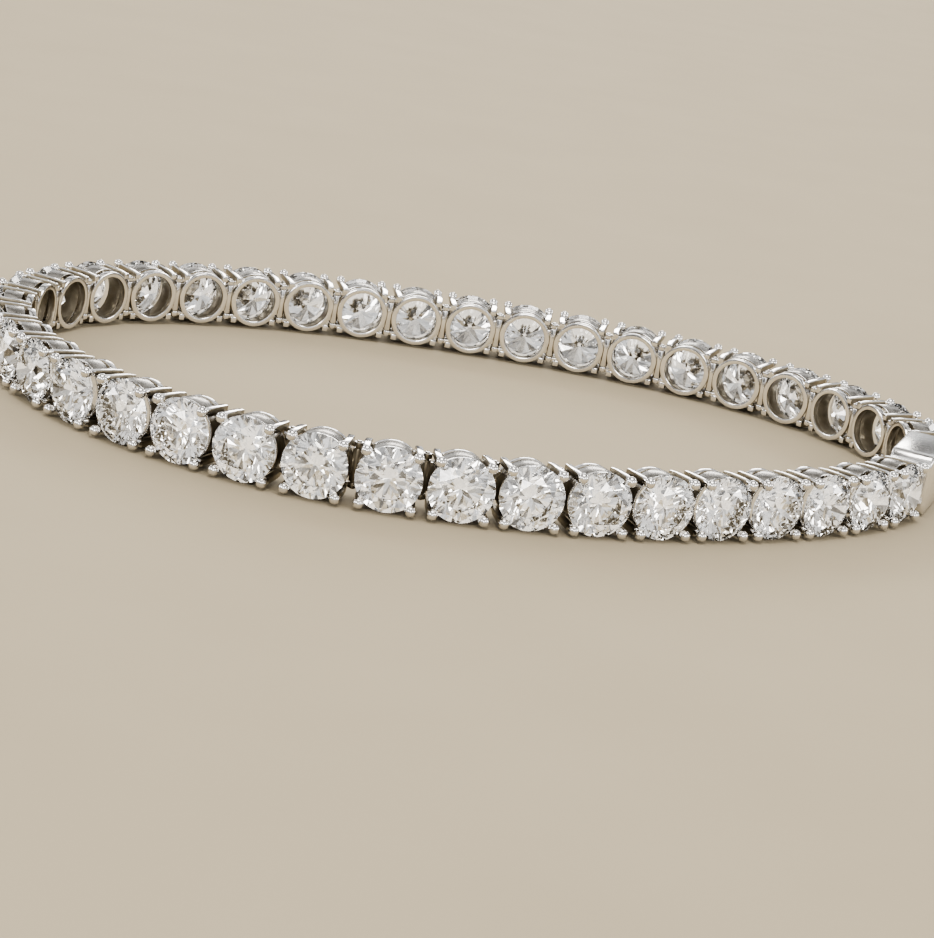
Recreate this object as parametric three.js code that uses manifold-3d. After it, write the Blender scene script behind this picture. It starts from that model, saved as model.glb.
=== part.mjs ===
// A tennis bracelet: a closed line of round brilliant stones in four-prong links, with one plain clasp.
// Millimetres, +Z up. The closed loop stands on its edge on the ground, z = 0, with the stones facing
// outwards, and the origin is under the middle of its box.

import * as THREE from 'three';
import { mergeVertices } from 'three/addons/utils/BufferGeometryUtils.js';
import Module from 'manifold-3d';

// ---- driving dimensions ----

const linkCount = 38;
const linksPerRow = 2;
const linkPitch = 4.35;
const claspPitch = 2 * linkPitch;

// all but the diameter and the turn are shares: of the diameter, of the way from the table's edge to
// the girdle (starLength) and of the way from the girdle to the culet (lowerHalfLength)
const stone = {
  diameter: 4.3,
  mains: 8,
  tableWidth: 0.57,
  crownHeight: 0.15,
  girdleHeight: 0.035,
  pavilionDepth: 0.43,
  starLength: 0.5,
  lowerHalfLength: 0.77,
  turnDegrees: 11,
};

// depths are measured along the stone's axis from the middle of its girdle, outwards positive
const gallery = { outerRadius: 1.7, innerRadius: 1.15, back: -2.65, front: -2.05, sides: 8 };
const hinge = { depth: -2.3, pinRadius: 0.2, pinLength: 1.7, pinSides: 6, lugWidth: 1, lugHeight: 0.36 };
const prongAngle = THREE.MathUtils.degToRad(45);
const prongSides = 4;
const prongStations = [
  { name: 'foot', depth: -2.6, reach: 1.93, half: 0.27 },
  { name: 'shoulder', depth: 0.1, reach: 2.5, half: 0.24 },
  { name: 'tip', depth: 0.42, reach: 2.36, half: 0.3 },
  { name: 'top', depth: 0.68, reach: 2.34, half: 0.15 },
];

const clasp = { height: 4.4, thickness: 3.1, front: 0.45, endGap: 0.45, corner: 0.9, bevel: 0.25 };

// the way the line of hinges lies on the ground, counter-clockwise, starting after the clasp
const route = [
  { place: 'right end', x: 35.5, y: 25.5 },
  { place: 'right back', x: 30, y: 35.5 },
  { place: 'back right', x: 18, y: 41.5 },
  { place: 'back', x: 3, y: 42.5 },
  { place: 'back left', x: -12, y: 39.5 },
  { place: 'left back', x: -24, y: 31.5 },
  { place: 'left end', x: -27.7, y: 18.5 },
  { place: 'front left', x: -20, y: 4.5 },
  { place: 'front', x: -5.5, y: -2.5 },
  { place: 'front right', x: 10, y: -0.8 },
  { place: 'right front', x: 23.5, y: 6.5 },
  { place: 'right', x: 32, y: 15.5 },
];

// ---- materials ----

const whiteGold = { color: 0xd9d7d2, roughness: 0.18, metalness: 1 };
const diamond = { color: 0xf4f5f6, roughness: 0.02, metalness: 0 };

// ---- the line of hinges ----

const halvings = 40;
const coarseStep = 0.002;

function routeCurve(scale) {
  const points = route.map(({ x, y }) => new THREE.Vector3(x * scale, y * scale, 0));
  return new THREE.CatmullRomCurve3(points, true, 'centripetal');
}

// the first place past `from` on the curve that is `chord` away, as a curve parameter
function stepAlong(curve, from, chord) {
  const start = curve.getPoint(from % 1);
  let near = from;
  let far = from;
  while (curve.getPoint(far % 1).distanceTo(start) < chord) far += coarseStep;
  for (let pass = 0; pass < halvings; pass += 1) {
    const middle = (near + far) / 2;
    if (curve.getPoint(middle % 1).distanceTo(start) < chord) near = middle;
    else far = middle;
  }
  return far;
}

const chords = [...Array(linkCount).fill(linkPitch), claspPitch];

function hingeParameters(curve) {
  const stops = [0];
  for (const chord of chords) stops.push(stepAlong(curve, stops.at(-1), chord));
  return stops;
}

// a larger loop leaves the last hinge short of the first one, so the right size is halved towards
function closingScale() {
  let small = 0.8;
  let large = 1.25;
  for (let pass = 0; pass < halvings; pass += 1) {
    const scale = (small + large) / 2;
    if (hingeParameters(routeCurve(scale)).at(-1) > 1) small = scale;
    else large = scale;
  }
  return (small + large) / 2;
}

const line = routeCurve(closingScale());
const hinges = hingeParameters(line).map((stop) => line.getPoint(stop % 1));

// a link's frame: x along the line, y up across the band, z outwards along the stone's axis,
// with the middle of the girdle at its origin
function linkFrame(index) {
  const start = hinges[index];
  const along = hinges[index + 1].clone().sub(start);
  const heading = Math.atan2(along.y, along.x);
  const middle = start.clone().addScaledVector(along, 0.5);
  const turn = new THREE.Euler(Math.PI / 2, 0, heading, 'ZYX');
  const frame = new THREE.Matrix4().makeRotationFromEuler(turn).setPosition(middle);
  return frame.multiply(new THREE.Matrix4().makeTranslation(0, 0, -hinge.depth));
}

// ---- meshes from rings of points ----

function pointsOnRing(count, radius, depth, firstAngle) {
  return Array.from({ length: count }, (_, k) => {
    const angle = firstAngle + (k * 2 * Math.PI) / count;
    return [radius * Math.cos(angle), radius * Math.sin(angle), depth];
  });
}

function meshGeometry(points, triangles) {
  const geometry = new THREE.BufferGeometry();
  geometry.setAttribute('position', new THREE.Float32BufferAttribute(points.flat(), 3));
  geometry.setIndex(triangles.flat());
  return geometry;
}

// ---- stone ----

// Rings of corners from the table to the culet: the table, the foot of the stars, the upper and the
// lower edge of the girdle, and the foot of the lower halves. The second and the last ring lie where
// the kites and the pavilion mains stay flat.
function brilliantGeometry() {
  const { mains } = stone;
  const halves = 2 * mains;
  const girdleRadius = stone.diameter / 2;
  const tableRadius = girdleRadius * stone.tableWidth;
  const halfGirdle = (stone.diameter * stone.girdleHeight) / 2;
  const tableDepth = halfGirdle + stone.diameter * stone.crownHeight;
  const culetDepth = -halfGirdle - stone.diameter * stone.pavilionDepth;
  const halfStep = Math.PI / mains;
  const flat = Math.cos(halfStep);
  const starRadius = THREE.MathUtils.lerp(tableRadius * flat, girdleRadius, stone.starLength);
  const starShare = (starRadius * flat - tableRadius) / (girdleRadius - tableRadius);
  const starDepth = THREE.MathUtils.lerp(tableDepth, halfGirdle, starShare);
  const lowerRadius = girdleRadius * (1 - stone.lowerHalfLength);
  const lowerShare = (lowerRadius * flat) / girdleRadius;
  const lowerDepth = THREE.MathUtils.lerp(culetDepth, -halfGirdle, lowerShare);

  const points = [
    ...pointsOnRing(mains, tableRadius, tableDepth, 0),
    ...pointsOnRing(mains, starRadius, starDepth, halfStep),
    ...pointsOnRing(halves, girdleRadius, halfGirdle, 0),
    ...pointsOnRing(halves, girdleRadius, -halfGirdle, 0),
    ...pointsOnRing(mains, lowerRadius, lowerDepth, halfStep),
    [0, 0, culetDepth],
  ];
  const table = (k) => k % mains;
  const star = (k) => mains + (k % mains);
  const upper = (k) => 2 * mains + (k % halves);
  const lower = (k) => 4 * mains + (k % halves);
  const main = (k) => 6 * mains + (k % mains);
  const culet = 7 * mains;

  const triangles = [];
  for (let k = 1; k < mains - 1; k += 1) triangles.push([table(0), table(k), table(k + 1)]);
  for (let k = 0; k < mains; k += 1) {
    const before = k + mains - 1;
    const corner = 2 * k;
    triangles.push([table(k), star(k), table(k + 1)]);
    triangles.push([table(k), star(before), upper(corner)], [table(k), upper(corner), star(k)]);
    triangles.push([star(k), upper(corner), upper(corner + 1)]);
    triangles.push([star(k), upper(corner + 1), upper(corner + 2)]);
    triangles.push([main(k), lower(corner + 1), lower(corner)]);
    triangles.push([main(k), lower(corner + 2), lower(corner + 1)]);
    triangles.push([culet, lower(corner), main(before)], [culet, main(k), lower(corner)]);
  }
  for (let k = 0; k < halves; k += 1) {
    triangles.push([upper(k), lower(k), lower(k + 1)], [upper(k), lower(k + 1), upper(k + 1)]);
  }
  return meshGeometry(points, triangles);
}

// ---- setting ----

// a square wire from the gallery past the girdle, bent in over the crown
function prongGeometry() {
  const points = prongStations.flatMap(({ depth, reach, half }) => (
    pointsOnRing(prongSides, half * Math.SQRT2, depth, Math.PI / prongSides)
      .map(([x, y, z]) => [x + reach, y, z])
  ));
  const triangles = [];
  const last = prongSides * (prongStations.length - 1);
  for (let station = 0; station < last; station += prongSides) {
    for (let side = 0; side < prongSides; side += 1) {
      const next = (side + 1) % prongSides;
      triangles.push([station + side, station + next, station + prongSides + next]);
      triangles.push([station + side, station + prongSides + next, station + prongSides + side]);
    }
  }
  for (let side = 1; side < prongSides - 1; side += 1) {
    triangles.push([0, side + 1, side], [last, last + side, last + side + 1]);
  }
  return meshGeometry(points, triangles);
}

function galleryGeometry() {
  const { outerRadius, innerRadius, back, front, sides } = gallery;
  const section = [
    new THREE.Vector2(innerRadius, back),
    new THREE.Vector2(outerRadius, back),
    new THREE.Vector2(outerRadius, front),
    new THREE.Vector2(innerRadius, front),
    new THREE.Vector2(innerRadius, back),
  ];
  return new THREE.LatheGeometry(section, sides).rotateX(Math.PI / 2);
}

// a flat tongue between two places along the line
function lugGeometry(from, to) {
  const lug = new THREE.BoxGeometry(Math.abs(to - from), hinge.lugWidth, hinge.lugHeight);
  return lug.translate((from + to) / 2, 0, hinge.depth);
}

function pinGeometry(along) {
  const { pinRadius, pinLength, pinSides, depth } = hinge;
  const pin = new THREE.CylinderGeometry(pinRadius, pinRadius, pinLength, pinSides);
  return pin.translate(along, 0, depth);
}

// ---- joining with manifold-3d ----

const wasm = await Module();
wasm.setup();

function toSolid(geometry) {
  const bare = geometry.clone();
  bare.deleteAttribute('normal');
  bare.deleteAttribute('uv');
  const merged = mergeVertices(bare);
  return new wasm.Manifold(new wasm.Mesh({
    numProp: 3,
    vertProperties: new Float32Array(merged.attributes.position.array),
    triVerts: new Uint32Array(merged.index.array),
  }));
}

function fromSolid(solid) {
  const mesh = solid.getMesh();
  const geometry = new THREE.BufferGeometry();
  geometry.setAttribute('position', new THREE.BufferAttribute(mesh.vertProperties, 3));
  geometry.setIndex(new THREE.BufferAttribute(mesh.triVerts, 1));
  return geometry;
}

const join = (geometries) => geometries.map(toSolid).reduce((whole, piece) => whole.add(piece));

function basketSolid() {
  const prongs = [prongAngle, Math.PI - prongAngle, Math.PI + prongAngle, -prongAngle]
    .map((angle) => prongGeometry().rotateZ(angle));
  return join([galleryGeometry(), ...prongs]);
}

const basket = basketSolid();
const galleryWall = (gallery.outerRadius + gallery.innerRadius) / 2;
const rightLug = join([lugGeometry(galleryWall, linkPitch / 2), pinGeometry(linkPitch / 2)]);
const leftLug = toSolid(lugGeometry(-linkPitch / 2, -galleryWall));

// A row has its own hinges closed solid; its last pin stands clear of the next row's gallery.
function rowGeometry(firstLink) {
  const toFirst = linkFrame(firstLink).invert();
  let row = null;
  for (let k = 0; k < linksPerRow; k += 1) {
    const place = toFirst.clone().multiply(linkFrame(firstLink + k)).toArray();
    let link = basket.add(rightLug);
    if (k > 0) link = link.add(leftLug);
    const placed = link.transform(place);
    row = row ? row.add(placed) : placed;
  }
  return fromSolid(row);
}

// ---- clasp ----

function claspBodyGeometry() {
  const { height, thickness, endGap, corner, bevel } = clasp;
  const halfLength = claspPitch / 2 - endGap - bevel;
  const halfThickness = thickness / 2 - bevel;
  const outline = new THREE.Shape();
  outline.moveTo(-halfLength + corner, -halfThickness);
  outline.absarc(halfLength - corner, -halfThickness + corner, corner, -Math.PI / 2, 0);
  outline.absarc(halfLength - corner, halfThickness - corner, corner, 0, Math.PI / 2);
  outline.absarc(-halfLength + corner, halfThickness - corner, corner, Math.PI / 2, Math.PI);
  outline.absarc(-halfLength + corner, -halfThickness + corner, corner, Math.PI, 1.5 * Math.PI);
  const depth = height - 2 * bevel;
  const shape = new THREE.ExtrudeGeometry(outline, {
    depth, curveSegments: 4, bevelEnabled: true, bevelThickness: bevel, bevelSize: bevel, bevelSegments: 2,
  });
  // the outline's second axis becomes the outward one, and the extrusion runs across the band
  shape.rotateX(-Math.PI / 2).translate(0, -depth / 2, 0);
  return shape.translate(0, 0, clasp.front - thickness / 2);
}

// the clasp carries the pin of the first link's hinge
function claspGeometry() {
  const lugStart = claspPitch / 2 - clasp.endGap - clasp.corner;
  const lug = lugGeometry(lugStart, claspPitch / 2);
  return fromSolid(join([claspBodyGeometry(), lug, pinGeometry(claspPitch / 2)]));
}

// ---- assembly ----

const bracelet = new THREE.Group();
const twoDigits = (number) => String(number).padStart(2, '0');

function addMesh(name, geometry, finish, frame) {
  const mesh = new THREE.Mesh(geometry, new THREE.MeshStandardMaterial(finish));
  mesh.name = name;
  mesh.applyMatrix4(frame);
  bracelet.add(mesh);
}

function addStones() {
  for (let k = 0; k < linkCount; k += 1) {
    const turned = THREE.MathUtils.degToRad(k * stone.turnDegrees);
    const frame = linkFrame(k).multiply(new THREE.Matrix4().makeRotationZ(turned));
    addMesh(`stone_${twoDigits(k + 1)}`, brilliantGeometry(), diamond, frame);
  }
}

function addSettingRows() {
  for (let k = 0; k < linkCount; k += linksPerRow) {
    const name = `setting_row_${twoDigits(k / linksPerRow + 1)}`;
    addMesh(name, rowGeometry(k), whiteGold, linkFrame(k));
  }
}

function centreOnGround() {
  bracelet.updateMatrixWorld(true);
  const box = new THREE.Box3().setFromObject(bracelet, true);
  const middle = box.getCenter(new THREE.Vector3());
  bracelet.position.set(-middle.x, -middle.y, -box.min.z);
}

addStones();
addSettingRows();
addMesh('clasp', claspGeometry(), whiteGold, linkFrame(linkCount));
centreOnGround();

export default bracelet;
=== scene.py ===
# %% [markdown]
# # A tennis bracelet
#
# A tennis bracelet is a closed line of round brilliant stones. Each stone sits in its own little
# basket of white gold: four wires rise from a ring at the back, pass the stone's edge and end in
# polished balls that hold it. A hinge behind the stones joins each basket to the next one.
#
# The bracelet lies as it would on a jeweller's table: closed, on its edge, with the stones looking
# outwards. This lesson takes the places of the stones from the fixed frame, cuts one stone and
# builds one basket with Blender's modelling tools, and sets copies of them all along the line.

# %% Frame
import math

import bpy
from mathutils import Matrix, Vector


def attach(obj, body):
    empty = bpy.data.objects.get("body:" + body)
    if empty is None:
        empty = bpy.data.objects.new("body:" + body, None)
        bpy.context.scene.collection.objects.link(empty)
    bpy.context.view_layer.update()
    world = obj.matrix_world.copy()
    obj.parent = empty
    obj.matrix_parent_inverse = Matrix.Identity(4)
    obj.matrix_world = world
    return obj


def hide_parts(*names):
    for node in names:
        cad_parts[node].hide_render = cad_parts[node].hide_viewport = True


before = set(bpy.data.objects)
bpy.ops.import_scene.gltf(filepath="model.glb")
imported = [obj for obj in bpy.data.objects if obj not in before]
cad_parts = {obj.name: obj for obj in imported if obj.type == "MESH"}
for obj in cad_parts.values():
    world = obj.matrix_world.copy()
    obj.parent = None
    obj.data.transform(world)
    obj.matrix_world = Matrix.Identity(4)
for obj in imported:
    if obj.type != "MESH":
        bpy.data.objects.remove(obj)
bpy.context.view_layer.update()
MM = 0.001
STONE_COUNT = 38
LINKS_PER_ROW = 2
print("nodes in the frame:", len(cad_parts))

# %% [markdown]
# ## Where each stone looks
#
# Everything on a link is symmetric about its stone's axis, so a link needs one place: a middle, a
# direction along the line, one across the band and one outwards. They could be typed in, but the
# plain stones of the frame already hold them. The table is a stone's largest flat facet, and it
# looks straight outwards. The widest part of the stone, the girdle, lies at a known share of its
# depth, and that is where the link's middle goes.

# %% Link places
STONE = dict(diameter=4.3, table=0.57, crown=0.15, girdle=0.035, pavilion=0.43)
STONE_DEPTH = STONE["crown"] + STONE["girdle"] + STONE["pavilion"]
GIRDLE_SHARE = (STONE["pavilion"] + STONE["girdle"] / 2) / STONE_DEPTH
UP = Vector((0, 0, 1))


def table_normal(mesh):
    areas = {}
    for polygon in mesh.polygons:
        facing = tuple(round(value, 3) for value in polygon.normal)
        area, total = areas.get(facing, (0, Vector()))
        areas[facing] = (area + polygon.area, total + polygon.normal * polygon.area)
    return max(areas.values(), key=lambda entry: entry[0])[1].normalized()


def middle_of(values, share=0.5):
    return min(values) + share * (max(values) - min(values))


def link_place(node_name):
    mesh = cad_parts[node_name].data
    outward = table_normal(mesh)
    along = UP.cross(outward)
    points = [vertex.co for vertex in mesh.vertices]
    girdle = middle_of([point.dot(outward) for point in points], GIRDLE_SHARE)
    side = middle_of([point.dot(along) for point in points])
    height = middle_of([point.z for point in points])
    origin = outward * girdle + along * side + UP * height
    return Matrix.Translation(origin) @ Matrix((along, UP, outward)).transposed().to_4x4()


places = [link_place(f"stone_{number + 1:02d}") for number in range(STONE_COUNT)]
print("first stone's middle, mm:", [round(value / MM, 2) for value in places[0].translation])

# %% [markdown]
# ## Small helpers
#
# An operator acts on whatever is selected, so each piece starts from an empty selection. The pieces
# are modelled in millimetres around the link's middle, x along the line, y across the band and
# z outwards, because bisect and bevel work best on shapes about one unit large. Each copy is then
# scaled to metres and put in its place inside its own mesh, and its object stays at the origin.


# %% Helpers
CLOSE = 1e-4


def start_clean():
    if bpy.context.object and bpy.context.object.mode != "OBJECT":
        bpy.ops.object.mode_set(mode="OBJECT")
    bpy.ops.object.select_all(action="DESELECT")


def pick(*objects):
    start_clean()
    for item in objects:
        item.select_set(True)
    bpy.context.view_layer.objects.active = objects[0]


def named(name):
    piece = bpy.context.object
    piece.name = piece.data.name = name
    return piece


def bake_place(piece):
    pick(piece)
    bpy.ops.object.transform_apply(location=True, rotation=True, scale=True)
    return piece


def finish_modifier(piece, kind, **settings):
    pick(piece)
    modifier = piece.modifiers.new(kind.title(), kind)
    for key, value in settings.items():
        setattr(modifier, key, value)
    bpy.ops.object.modifier_apply(modifier=modifier.name)
    return piece


def join_solids(whole, *others):
    for other in others:
        finish_modifier(whole, "BOOLEAN", operation="UNION", solver="EXACT", object=other)
        bpy.data.objects.remove(other)
    return whole


def copy_in_place(pattern, name, matrix):
    piece = pattern.copy()
    piece.data = pattern.data.copy()
    piece.name = piece.data.name = name
    bpy.context.scene.collection.objects.link(piece)
    piece.data.transform(matrix @ Matrix.Scale(MM, 4))
    return piece


print("helpers ready")

# %% [markdown]
# ## The stone
#
# A round brilliant has 57 facets: the table, 8 stars, 8 kites and 16 upper halves on the crown,
# 16 lower halves and 8 mains on the pavilion. They could be drawn as a mesh point by point. Here the
# stone is cut as on a lapidary's wheel instead: a round blank is ground flat along one plane after
# another, and every facet comes out truly flat, with the wavy line along the girdle that real
# stones have. Each plane goes through three corners that the stone's proportions give.


# %% Stone corners
MAINS = 8
RADIUS = STONE["diameter"] / 2
TABLE_RADIUS = RADIUS * STONE["table"]
GIRDLE_HALF = STONE["diameter"] * STONE["girdle"] / 2
TABLE_DEPTH = GIRDLE_HALF + STONE["diameter"] * STONE["crown"]
CULET_DEPTH = -GIRDLE_HALF - STONE["diameter"] * STONE["pavilion"]
STEP = 2 * math.pi / MAINS
FLAT = math.cos(STEP / 2)
STAR_RADIUS = (TABLE_RADIUS * FLAT + RADIUS) / 2
STAR_SHARE = (STAR_RADIUS * FLAT - TABLE_RADIUS) / (RADIUS - TABLE_RADIUS)
STAR_DEPTH = TABLE_DEPTH + STAR_SHARE * (GIRDLE_HALF - TABLE_DEPTH)
LOWER_SHARE = 0.23
LOWER_RADIUS = RADIUS * LOWER_SHARE
LOWER_DEPTH = CULET_DEPTH + (LOWER_RADIUS * FLAT / RADIUS) * (-GIRDLE_HALF - CULET_DEPTH)


def corner(radius, depth, steps):
    return Vector((radius * math.cos(steps * STEP), radius * math.sin(steps * STEP), depth))


def table_corner(steps):
    return corner(TABLE_RADIUS, TABLE_DEPTH, steps)


def star_corner(steps):
    return corner(STAR_RADIUS, STAR_DEPTH, steps)


def upper_corner(steps):
    return corner(RADIUS, GIRDLE_HALF, steps)


def lower_corner(steps):
    return corner(RADIUS, -GIRDLE_HALF, steps)


def pavilion_corner(steps):
    return corner(LOWER_RADIUS, LOWER_DEPTH, steps)


CULET = Vector((0, 0, CULET_DEPTH))
print("crown angle, degrees:",
      round(math.degrees(math.atan2(TABLE_DEPTH - GIRDLE_HALF, RADIUS - TABLE_RADIUS)), 1))
print("pavilion angle, degrees:",
      round(math.degrees(math.atan2(-GIRDLE_HALF - CULET_DEPTH, RADIUS)), 1))

# %% [markdown]
# The facets come in order, as a cutter grinds them: the table and the eight mains of each side
# first, then the stars and halves that share the corners the mains left.


# %% Facet planes
CUT_MERGE = 1e-5


def facets():
    yield table_corner(0), table_corner(1), table_corner(2)
    for k in range(MAINS):
        yield table_corner(k), star_corner(k - 0.5), star_corner(k + 0.5)
        yield CULET, pavilion_corner(k - 0.5), pavilion_corner(k + 0.5)
    for k in range(MAINS):
        yield table_corner(k), table_corner(k + 1), star_corner(k + 0.5)
        for half in (0, 0.5):
            yield star_corner(k + 0.5), upper_corner(k + half), upper_corner(k + half + 0.5)
            yield pavilion_corner(k + 0.5), lower_corner(k + half), lower_corner(k + half + 0.5)


def grind(plane_point, second, third):
    normal = (second - plane_point).cross(third - plane_point).normalized()
    if normal.dot(plane_point) < 0:
        normal.negate()
    bpy.ops.mesh.select_all(action="SELECT")
    bpy.ops.mesh.bisect(plane_co=plane_point, plane_no=normal, use_fill=True, clear_outer=True,
                        threshold=CUT_MERGE)


# %% Cut the stone
BLANK_SIDES = 64


def cut_brilliant():
    start_clean()
    depth = TABLE_DEPTH - CULET_DEPTH
    middle = (TABLE_DEPTH + CULET_DEPTH) / 2
    bpy.ops.mesh.primitive_cylinder_add(vertices=BLANK_SIDES, radius=RADIUS, depth=1.1 * depth,
                                        location=(0, 0, middle))
    stone = bake_place(named("brilliant_pattern"))
    bpy.ops.object.mode_set(mode="EDIT")
    bpy.ops.mesh.select_mode(type="VERT")
    for plane_points in facets():
        grind(*plane_points)
    bpy.ops.mesh.select_all(action="SELECT")
    bpy.ops.mesh.remove_doubles(threshold=CLOSE)
    bpy.ops.mesh.normals_make_consistent(inside=False)
    bpy.ops.object.mode_set(mode="OBJECT")
    return stone


brilliant = cut_brilliant()
print("faces of the brilliant:", len(brilliant.data.polygons))

# %% [markdown]
# ## The basket
#
# On the real link four square wires stand on a ring and end in balls. A quick way would be four
# bent curves with a bevel, but the flat sides of the wires catch long straight flashes of light, so
# a cube is the better start. One corner of the basket is modelled, and a Mirror modifier makes the
# other three. A foot, a knee, a shoulder and a neck are enough stations: the wire steps out from the
# ring, runs forward to the stone's edge and then nods in over it.

# %% Basket sizes
PITCH = 4.35
HINGE_DEPTH = -2.3
PRONG_STATIONS = (
    dict(place="foot", depth=-2.62, side=1.57, width=0.46),
    dict(place="knee", depth=-1.90, side=1.65, width=0.45),
    dict(place="shoulder", depth=-0.20, side=1.71, width=0.43),
    dict(place="neck", depth=0.22, side=1.69, width=0.30),
)
FOOT_HEIGHT = 0.1
WIRE_EDGE = 0.07
SHARP_ANGLE = 0.9
BALL = dict(along=1.65, across=1.73, depth=0.38, radius=0.37)
GALLERY = dict(radius=1.78, wall=0.40, back=-2.65, height=0.5, edge=0.08)
SEAT = dict(radius=1.96, wall=0.16, back=-1.85, height=1.27, edge=0.04)
RING_SIDES = 48
print("stations of a wire:", [station["place"] for station in PRONG_STATIONS])


# %% One prong
def open_on_faces(piece, chosen):
    pick(piece)
    bpy.ops.object.mode_set(mode="EDIT")
    bpy.ops.mesh.select_mode(type="FACE")
    bpy.ops.mesh.select_all(action="DESELECT")
    bpy.ops.object.mode_set(mode="OBJECT")
    for polygon in piece.data.polygons:
        polygon.select = chosen(polygon)
    bpy.ops.object.mode_set(mode="EDIT")


def draw_wire(wire, before, after):
    top = max(polygon.center.z for polygon in wire.data.polygons)
    open_on_faces(wire, lambda polygon: polygon.center.z > top - CLOSE)
    shift = after["side"] - before["side"]
    move = (shift, shift, after["depth"] - top)
    bpy.ops.mesh.extrude_region_move(TRANSFORM_OT_translate={"value": move})
    narrower = after["width"] / before["width"]
    centre = (after["side"], after["side"], after["depth"])
    bpy.ops.transform.resize(value=(narrower, narrower, 1), center_override=centre)
    bpy.ops.object.mode_set(mode="OBJECT")


def model_prong():
    foot = PRONG_STATIONS[0]
    start_clean()
    middle = foot["depth"] + FOOT_HEIGHT / 2
    bpy.ops.mesh.primitive_cube_add(size=1, location=(foot["side"], foot["side"], middle))
    wire = named("prong_pattern")
    wire.scale = (foot["width"], foot["width"], FOOT_HEIGHT)
    bake_place(wire)
    for before, after in zip(PRONG_STATIONS, PRONG_STATIONS[1:]):
        draw_wire(wire, before, after)
    return finish_modifier(wire, "BEVEL", width=WIRE_EDGE, segments=2, limit_method="ANGLE",
                           angle_limit=SHARP_ANGLE)


def model_ball():
    start_clean()
    bpy.ops.mesh.primitive_uv_sphere_add(segments=20, ring_count=12, radius=BALL["radius"],
                                         location=(BALL["along"], BALL["across"], BALL["depth"]))
    return bake_place(named("ball_pattern"))


prong = join_solids(model_prong(), model_ball())
finish_modifier(prong, "MIRROR", use_axis=(True, True, False), use_mirror_merge=False)
print("faces of the four prongs:", len(prong.data.polygons))

# %% [markdown]
# ## Rings
#
# The gallery is the flat ring at the back. The seat is a thin cup around the stone's lower half. Its
# wall closes the gap between the wires, and its rim stops a little short of the stone, so the wires
# and balls alone hold it. A circle is extruded to the ring's height, Solidify gives it a wall and
# Bevel breaks its edges, because polished metal never ends in a knife edge.


# %% Gallery and seat
def model_ring(name, sizes):
    start_clean()
    bpy.ops.mesh.primitive_circle_add(vertices=RING_SIDES, radius=sizes["radius"],
                                      location=(0, 0, sizes["back"]))
    ring = bake_place(named(name))
    bpy.ops.object.mode_set(mode="EDIT")
    bpy.ops.mesh.select_all(action="SELECT")
    bpy.ops.mesh.extrude_edges_move(TRANSFORM_OT_translate={"value": (0, 0, sizes["height"])})
    bpy.ops.mesh.select_all(action="SELECT")
    bpy.ops.mesh.normals_make_consistent(inside=False)
    bpy.ops.object.mode_set(mode="OBJECT")
    finish_modifier(ring, "SOLIDIFY", thickness=sizes["wall"], offset=0)
    return finish_modifier(ring, "BEVEL", width=sizes["edge"], segments=2, limit_method="ANGLE")


gallery = model_ring("gallery_pattern", GALLERY)
seat = model_ring("seat_pattern", SEAT)
print("faces of the rings:", len(gallery.data.polygons), len(seat.data.polygons))

# %% [markdown]
# ## The hinge
#
# Behind the stones each link carries a fork with a rivet on one side and a knuckle on the other.
# The next link's knuckle sits between the ears of the fork, round its rivet. The parts are small, so
# plain cylinders with broken edges and a short plate do. A ball chain would be simpler, but a line
# bracelet has to stay flat across the wrist, and only a hinge keeps it flat. One thing is left
# undone: the knuckle runs about 0.13 mm into the gallery ring of its neighbour, where a goldsmith
# would file the ring away.

# %% Hinge sizes
EAR = dict(radius=0.34, width=0.36, side=1.34)
CHEEK = dict(width=0.30, height=0.41, root=1.25)
KNUCKLE = dict(radius=0.32, width=2.2)
TONGUE = dict(width=1.9, height=0.38, root=1.62)
RIVET = dict(radius=0.17, width=3.2)
BARREL_SIDES = 24
BARREL_EDGE = 0.05
PLATE_EDGE = 0.04
print("rivet, mm across the band:", RIVET["width"])


# %% Hinge parts
def model_barrel(name, along, across, radius, width):
    start_clean()
    bpy.ops.mesh.primitive_cylinder_add(vertices=BARREL_SIDES, radius=radius, depth=width,
                                        location=(along, across, HINGE_DEPTH),
                                        rotation=(math.pi / 2, 0, 0))
    barrel = bake_place(named(name))
    return finish_modifier(barrel, "BEVEL", width=BARREL_EDGE, segments=2, limit_method="ANGLE")


def model_plate(name, start, end, across, width, height):
    start_clean()
    bpy.ops.mesh.primitive_cube_add(size=1, location=((start + end) / 2, across, HINGE_DEPTH))
    plate = named(name)
    plate.scale = (abs(end - start), width, height)
    bake_place(plate)
    return finish_modifier(plate, "BEVEL", width=PLATE_EDGE, segments=2, limit_method="ANGLE")


def model_fork(reach, root):
    parts = [model_barrel("rivet", reach, 0, RIVET["radius"], RIVET["width"])]
    for across in (-EAR["side"], EAR["side"]):
        parts.append(model_barrel("ear", reach, across, EAR["radius"], EAR["width"]))
        parts.append(model_plate("cheek", root, reach, across, CHEEK["width"], CHEEK["height"]))
    return parts


def model_knuckle(reach, root):
    return [model_barrel("knuckle", reach, 0, KNUCKLE["radius"], KNUCKLE["width"]),
            model_plate("tongue", root, reach, 0, TONGUE["width"], TONGUE["height"])]


fork = model_fork(PITCH / 2, CHEEK["root"])
print("parts of a fork:", len(fork))

# %% [markdown]
# ## One link
#
# Soldered metal is one piece, so the basket, its rings and its hinge parts are joined by Boolean
# unions. Then a hole is drilled through the knuckle, a hair wider than the rivet of the neighbour
# that turns in it. Smoothing only below a set angle keeps the flats of the wires flat.

# %% Join a link
RIVET_PLAY = 0.02
SMOOTH_ANGLE = 32


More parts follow.
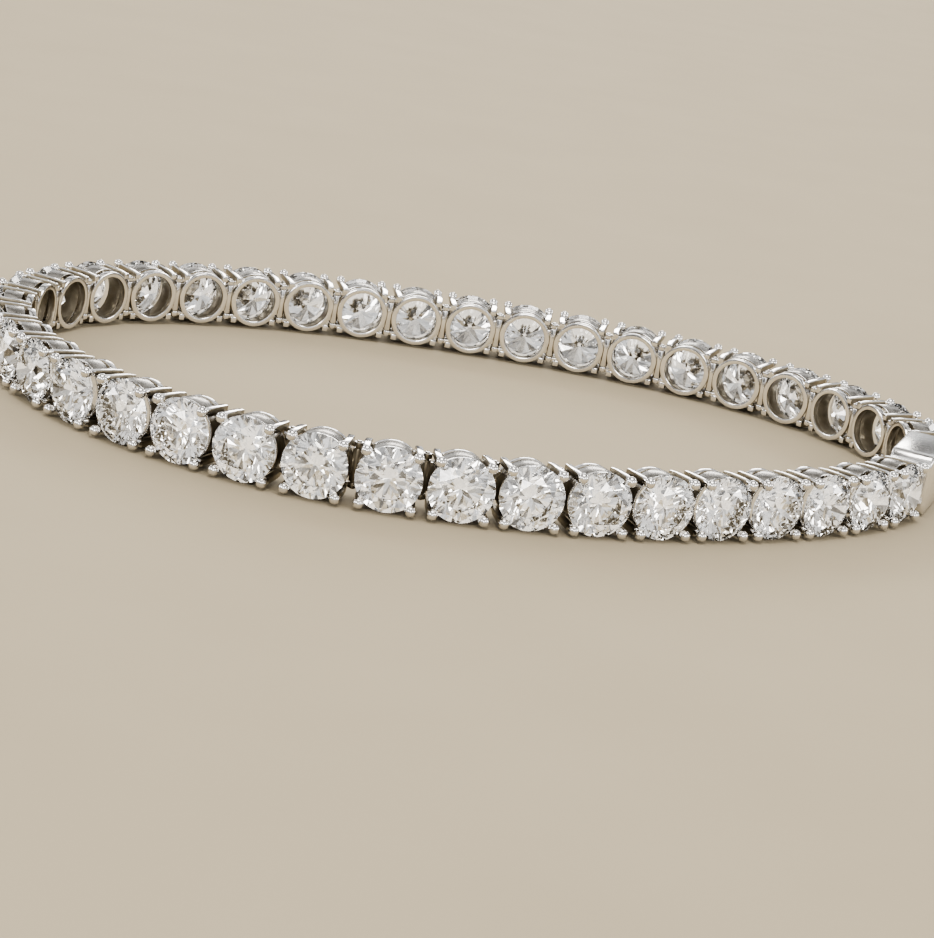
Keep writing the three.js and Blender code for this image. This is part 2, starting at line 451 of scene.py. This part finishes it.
def drill(piece, along):
    start_clean()
    bpy.ops.mesh.primitive_cylinder_add(vertices=BARREL_SIDES, radius=RIVET["radius"] + RIVET_PLAY,
                                        depth=RIVET["width"], location=(along, 0, HINGE_DEPTH),
                                        rotation=(math.pi / 2, 0, 0))
    bit = bake_place(named("drill"))
    finish_modifier(piece, "BOOLEAN", operation="DIFFERENCE", solver="EXACT", object=bit)
    bpy.data.objects.remove(bit)


def smooth_below(piece, degrees):
    pick(piece)
    bpy.ops.object.shade_smooth_by_angle(angle=math.radians(degrees))
    return piece


link = join_solids(prong, gallery, seat, *fork, *model_knuckle(-PITCH / 2, -TONGUE["root"]))
drill(link, -PITCH / 2)
link.name = link.data.name = "link_pattern"
smooth_below(link, SMOOTH_ANGLE)
print("faces of a link:", len(link.data.polygons))

# %% [markdown]
# ## The clasp
#
# The clasp is a plain rounded box. The tongue and catch that a real one holds inside are left out. A
# cube gets its four upright corners rounded first and all its edges softened after, which is the
# order a caster's model is filed in. Its place is midway between the hinges at both ends of the line.

# %% Clasp
CLASP = dict(length=7.8, height=4.4, thickness=3.1, front=0.45, corner=0.9, edge=0.25, root=0.2)


def select_corner_edges(piece, length):
    open_on_faces(piece, lambda polygon: False)
    bpy.ops.mesh.select_mode(type="EDGE")
    bpy.ops.object.mode_set(mode="OBJECT")
    for edge in piece.data.edges:
        first, second = (piece.data.vertices[index].co for index in edge.vertices)
        edge.select = abs(abs(first.z - second.z) - length) < CLOSE
    bpy.ops.object.mode_set(mode="EDIT")


def model_clasp():
    start_clean()
    middle = CLASP["front"] - CLASP["thickness"] / 2
    bpy.ops.mesh.primitive_cube_add(size=1, location=(0, 0, middle))
    box = named("clasp_pattern")
    box.scale = (CLASP["length"], CLASP["height"], CLASP["thickness"])
    bake_place(box)
    select_corner_edges(box, CLASP["thickness"])
    bpy.ops.mesh.bevel(offset=CLASP["corner"], segments=8, affect="EDGES")
    bpy.ops.object.mode_set(mode="OBJECT")
    finish_modifier(box, "BEVEL", width=CLASP["edge"], segments=4, limit_method="ANGLE",
                    angle_limit=SHARP_ANGLE)
    half = CLASP["length"] / 2 - CLASP["root"]
    join_solids(box, *model_fork(PITCH, half), *model_knuckle(-PITCH, -half))
    drill(box, -PITCH)
    return smooth_below(box, SMOOTH_ANGLE)


def clasp_place():
    start = places[-1] @ Vector((PITCH / 2 * MM, 0, HINGE_DEPTH * MM))
    end = places[0] @ Vector((-PITCH / 2 * MM, 0, HINGE_DEPTH * MM))
    along = (end - start).normalized()
    outward = along.cross(UP)
    origin = (start + end) / 2 - outward * HINGE_DEPTH * MM
    print("hinge to hinge across the clasp, mm:", round((end - start).length / MM, 2))
    return Matrix.Translation(origin) @ Matrix((along, UP, outward)).transposed().to_4x4()


clasp_pattern = model_clasp()
print("faces of the clasp:", len(clasp_pattern.data.polygons))

# %% [markdown]
# ## White gold
#
# Polished white gold is a slightly warm mirror. A perfect mirror looks drawn, so one noise shifts its
# colour a little, and a finer one moves the roughness and ripples the surface, as a polishing wheel
# does. All patterns read Object coordinates, so they run on unbroken from one link to the next.


# %% Node helpers
def new_material(name):
    material = bpy.data.materials.new(name)
    material.use_nodes = True
    return material, material.node_tree.nodes["Principled BSDF"]


def add_node(material, kind, **settings):
    node = material.node_tree.nodes.new(kind)
    for key, value in settings.items():
        setattr(node, key, value)
    return node


def connect(material, source, target):
    material.node_tree.links.new(source, target)


def object_noise(material, scale, detail=3.0):
    where = add_node(material, "ShaderNodeTexCoord")
    noise = add_node(material, "ShaderNodeTexNoise")
    noise.inputs["Scale"].default_value = scale
    noise.inputs["Detail"].default_value = detail
    connect(material, where.outputs["Object"], noise.inputs["Vector"])
    return noise.outputs["Fac"]


def blend_by(material, value, low, high, span=(0.3, 0.7)):
    ramp = add_node(material, "ShaderNodeValToRGB")
    ramp.color_ramp.elements[0].position = span[0]
    ramp.color_ramp.elements[1].position = span[1]
    ramp.color_ramp.elements[0].color = (*low, 1)
    ramp.color_ramp.elements[1].color = (*high, 1)
    connect(material, value, ramp.inputs["Fac"])
    return ramp.outputs["Color"]


def spread(material, value, low, high):
    limits = add_node(material, "ShaderNodeMapRange")
    limits.inputs["From Min"].default_value = 0.3
    limits.inputs["From Max"].default_value = 0.7
    limits.inputs["To Min"].default_value = low
    limits.inputs["To Max"].default_value = high
    connect(material, value, limits.inputs["Value"])
    return limits.outputs["Result"]


def ripple(material, shader, value, strength, distance):
    bump = add_node(material, "ShaderNodeBump")
    bump.inputs["Strength"].default_value = strength
    bump.inputs["Distance"].default_value = distance
    connect(material, value, bump.inputs["Height"])
    connect(material, bump.outputs["Normal"], shader.inputs["Normal"])


# %% Metal
def polished_metal(name, low, high, gloss):
    material, shader = new_material(name)
    shader.inputs["Metallic"].default_value = 1.0
    cloud = object_noise(material, scale=900)
    grain = object_noise(material, scale=5200)
    connect(material, blend_by(material, cloud, low, high), shader.inputs["Base Color"])
    connect(material, spread(material, grain, *gloss), shader.inputs["Roughness"])
    ripple(material, shader, grain, strength=0.12, distance=0.00003)
    return material


white_gold = polished_metal("white_gold", (0.82, 0.80, 0.78), (0.91, 0.90, 0.88), (0.04, 0.12))
clasp_gold = polished_metal("clasp_gold", (0.80, 0.78, 0.76), (0.88, 0.87, 0.85), (0.08, 0.2))
# The cup and recess metals are rougher, and their colour is painted darker as painted shade for the
# hollows and the gaps between links.
dull_cup_painted_shade = polished_metal("dull_cup_painted_shade", (0.30, 0.285, 0.26), (0.44, 0.42, 0.39), (0.2, 0.32))
dull_recess_painted_shade = polished_metal("dull_recess_painted_shade", (0.22, 0.19, 0.14), (0.36, 0.32, 0.25), (0.3, 0.5))
print("metals:", white_gold.name, dull_cup_painted_shade.name, dull_recess_painted_shade.name, clasp_gold.name)

# %% [markdown]
# A polishing wheel never reaches the insides of a basket or the narrow room between two links, so
# there the metal stays as it was cast, duller and rougher. Its colour is also painted darker there as
# painted shade, and that painted shade is what makes the gaps between the stones read as gaps. The
# faces that look inwards or at a neighbour get the darkest painted shade, and the open sides of the
# cup a lighter one.

# %% Polished faces, and dull faces with painted shade
POLISH_AND_SHADE_LIMIT = -0.1
BACKWARD = -0.6
FORWARD = 0.3
SIDEWAYS = 0.5
RIM_PLAY = 0.02
SEAT_FRONT = SEAT["back"] + SEAT["height"] + RIM_PLAY
CUP_REACH = SEAT["radius"] + SEAT["wall"]


# Faces deep in the basket or between links that look inwards or sideways get the dull metals with
# painted shade; the rest stay polished white gold.
def finish_and_shade_of(polygon):
    middle, facing = polygon.center, polygon.normal
    outside = facing.y * middle.y > 0 and abs(facing.y) > SIDEWAYS
    on_cup = SEAT["back"] < middle.z < SEAT_FRONT and middle.xy.length < CUP_REACH
    if middle.z > POLISH_AND_SHADE_LIMIT or facing.z < BACKWARD or (on_cup and facing.z > FORWARD):
        return white_gold
    if outside:
        return dull_cup_painted_shade if on_cup else white_gold
    return dull_recess_painted_shade


# Each face gets polished white gold or one of the two dull metals with painted shade.
link_metals = [white_gold, dull_cup_painted_shade, dull_recess_painted_shade]
for metal in link_metals:
    link.data.materials.append(metal)
for polygon in link.data.polygons:
    polygon.material_index = link_metals.index(finish_and_shade_of(polygon))
clasp_pattern.data.materials.append(clasp_gold)
# Counts the faces that carry the dull metals with painted shade.
print("dull faces with painted shade:", sum(polygon.material_index > 0 for polygon in link.data.polygons))

# %% [markdown]
# ## Diamond
#
# A diamond has no colour of its own: all its light is bent and mirrored, and the look comes from the
# facets and from what stands around it. The refractive index, 2.42, does most of the work. It sits on
# the shader's own socket. A very slow noise gives neighbouring stones slightly different whites.

# %% Diamond
diamond, shader = new_material("diamond")
shader.inputs["Transmission Weight"].default_value = 1.0
shader.inputs["IOR"].default_value = 2.417
shader.inputs["Roughness"].default_value = 0.0
tone = blend_by(diamond, object_noise(diamond, scale=160, detail=1), (0.93, 0.92, 0.90), (1, 1, 1))
connect(diamond, tone, shader.inputs["Base Color"])
brilliant.data.materials.append(diamond)
print("diamond ready")

# %% [markdown]
# ## Assembly
#
# Two links make one row piece, as in the frame. Copies are joined after they are in place, and every
# stone is turned a few degrees further about its own axis than the one before it, because no setter
# lines up the facets of 38 stones.


# %% Finish a piece
STONE_TURN = 11


def finish_piece(piece, slot, *nodes):
    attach(piece, "root")
    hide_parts(*nodes)


def make_row(number):
    first = number * LINKS_PER_ROW
    name = f"row_{number + 1:02d}"
    links = [copy_in_place(link, name, place) for place in places[first:first + LINKS_PER_ROW]]
    pick(*links)
    bpy.ops.object.join()
    finish_piece(links[0], "white_gold", f"setting_{name}")


def make_stone(number):
    turn = Matrix.Rotation(math.radians(STONE_TURN * number), 4, "Z")
    stone = copy_in_place(brilliant, f"brilliant_{number + 1:02d}", places[number] @ turn)
    finish_piece(stone, "diamond", f"stone_{number + 1:02d}")


# %% Assemble
for row in range(STONE_COUNT // LINKS_PER_ROW):
    make_row(row)
for stone_number in range(STONE_COUNT):
    make_stone(stone_number)
clasp = copy_in_place(clasp_pattern, "clasp_case", clasp_place())
finish_piece(clasp, "clasp_gold", "clasp")
for pattern in (link, brilliant, clasp_pattern):
    bpy.data.objects.remove(pattern)

# %% [markdown]
# ## Table and studio light
#
# A pale table, matt and slightly warm, throws soft light up into the stones. Around it stand softboxes
# with gaps between them: a stone with even light on all sides looks like milk, and changes from light
# to dark are what draws its facets.

# %% Table
FLOOR_SIZE = 6
start_clean()
bpy.ops.mesh.primitive_plane_add(size=FLOOR_SIZE)
floor = named("floor")
plaster, shader = new_material("pale_plaster")
speckle = object_noise(plaster, scale=60, detail=6)
connect(plaster, blend_by(plaster, speckle, (0.50, 0.42, 0.29), (0.52, 0.44, 0.305)),
        shader.inputs["Base Color"])
shader.inputs["Roughness"].default_value = 0.8
ripple(plaster, shader, object_noise(plaster, scale=900, detail=6), 0.15, 0.0002)
floor.data.materials.append(plaster)
print("floor:", FLOOR_SIZE, "m")


# %% Softboxes
def softbox(name, azimuth, elevation, distance, size, power, colour=(1, 0.97, 0.93)):
    start_clean()
    turn, rise = math.radians(azimuth), math.radians(elevation)
    place = Vector((math.sin(turn) * math.cos(rise), -math.cos(turn) * math.cos(rise), math.sin(rise)))
    bpy.ops.object.light_add(type="AREA", location=place * distance)
    lamp = bpy.context.object
    lamp.name = lamp.data.name = name
    lamp.rotation_euler = place.to_track_quat("Z", "Y").to_euler()
    lamp.data.shape = "RECTANGLE"
    lamp.data.size, lamp.data.size_y = size
    lamp.data.energy = power
    lamp.data.color = colour
    lamp.visible_camera = False


AROUND = dict(count=8, low=18, step_up=10, distance=2.4, size=(0.66, 0.45), power=5)
softbox("softbox_top", azimuth=0, elevation=86, distance=2.1, size=(1.0, 1.0), power=13.5)
for number in range(AROUND["count"]):
    softbox(f"softbox_{number}", azimuth=number * 360 / AROUND["count"],
            elevation=AROUND["low"] + AROUND["step_up"] * (number % 2),
            distance=AROUND["distance"], size=AROUND["size"], power=AROUND["power"])
print("softboxes:", AROUND["count"] + 1)

# %% [markdown]
# A diamond seen from a little above throws the light of the table in front of it back at the eye. On a
# jeweller's light table that light is white. A thin panel just over the table does this job: only
# light that has passed through a stone meets it, so metal and plaster keep their own tones.

# %% Light panel
PANEL = dict(height=0.05, across=(0.115, 0.095), power=0.017)
start_clean()
bpy.ops.object.light_add(type="AREA", location=(0, 0, PANEL["height"] * MM), rotation=(math.pi, 0, 0))
panel = bpy.context.object
panel.name = panel.data.name = "light_panel"
panel.data.shape = "ELLIPSE"
panel.data.size, panel.data.size_y = PANEL["across"]
panel.data.energy = PANEL["power"]
panel.data.color = (1, 0.99, 0.98)
panel.visible_camera = panel.visible_glossy = panel.visible_diffuse = False
print("light panel, mm across:", round(panel.data.size / MM))

# %% [markdown]
# The world is the room around the table. Its walls are the brightest part, because a stone that
# stands on its edge looks at them, while the table looks at the dimmer ceiling. Broad soft patches of
# light and dark on the walls are what the facets pick up.

# %% Room
WALL_LIGHT = 0.78
world = bpy.data.worlds.new("room")
bpy.context.scene.world = world
world.use_nodes = True
tree = world.node_tree


def room_ramp(value, stops):
    ramp = tree.nodes.new("ShaderNodeValToRGB")
    while len(ramp.color_ramp.elements) < len(stops):
        ramp.color_ramp.elements.new(0.5)
    for element, (position, colour) in zip(ramp.color_ramp.elements, stops):
        element.position = position
        element.color = (*colour, 1)
    tree.links.new(value, ramp.inputs["Fac"])
    return ramp.outputs["Color"]


direction = tree.nodes.new("ShaderNodeTexCoord").outputs["Generated"]
parts = tree.nodes.new("ShaderNodeSeparateXYZ")
tree.links.new(direction, parts.inputs[0])
height_light = room_ramp(parts.outputs["Z"], ((0.0, (0.40, 0.36, 0.30)), (0.12, (0.85, 0.86, 0.87)),
                                              (0.6, (1, 1, 1)), (0.85, (0.75, 0.74, 0.72))))
patches = tree.nodes.new("ShaderNodeTexNoise")
patches.inputs["Scale"].default_value = 2.6
patches.inputs["Detail"].default_value = 1.0
tree.links.new(direction, patches.inputs["Vector"])
patch_light = room_ramp(patches.outputs["Fac"], ((0.42, (0.18, 0.175, 0.17)), (0.55, (1, 1, 1))))
both = tree.nodes.new("ShaderNodeVectorMath")
both.operation = "MULTIPLY"
tree.links.new(height_light, both.inputs[0])
tree.links.new(patch_light, both.inputs[1])
tree.links.new(both.outputs[0], tree.nodes["Background"].inputs["Color"])
tree.nodes["Background"].inputs["Strength"].default_value = WALL_LIGHT
print("room ready")

# %% [markdown]
# ## Camera
#
# A long lens from about two hands' breadths away, a little above the table, and tilted so that the
# line of stones runs down to the right.

# %% Camera
VIEW = dict(elevation=15, roll=10, distance=0.18, lens=107.5)
AIM = Vector((0.56, -19.94, 2.3)) * MM
rise, roll = math.radians(VIEW["elevation"]), math.radians(VIEW["roll"])
back = Vector((0, -math.cos(rise), math.sin(rise)))
right = Vector((1, 0, 0))
over = back.cross(right)
right_turned = math.cos(roll) * right + math.sin(roll) * over
over_turned = -math.sin(roll) * right + math.cos(roll) * over
camera = bpy.data.objects.new("camera", bpy.data.cameras.new("camera"))
bpy.context.scene.collection.objects.link(camera)
camera.data.lens = VIEW["lens"]
camera.data.clip_start = 0.01
turning = Matrix((right_turned, over_turned, back)).transposed().to_4x4()
camera.matrix_world = Matrix.Translation(AIM + back * VIEW["distance"]) @ turning
bpy.context.scene.camera = camera
print("camera height, mm:", round(camera.matrix_world.translation.z / MM, 1))

# %% [markdown]
# ## Light paths
#
# Light crosses a diamond many times before it leaves, so the paths must be long enough, or the stones
# turn black inside.

# %% Light paths
scene = bpy.context.scene
scene.cycles.max_bounces = 18
scene.cycles.transmission_bounces = 18
scene.cycles.glossy_bounces = 8
scene.cycles.diffuse_bounces = 3
scene.cycles.sample_clamp_indirect = 8
scene.cycles.caustics_refractive = False
scene.cycles.caustics_reflective = False
scene.view_settings.view_transform = "AgX"
scene.view_settings.look = "AgX - Medium High Contrast"
scene.view_settings.exposure = 0.6
print("most bounces of a light path:", scene.cycles.max_bounces)
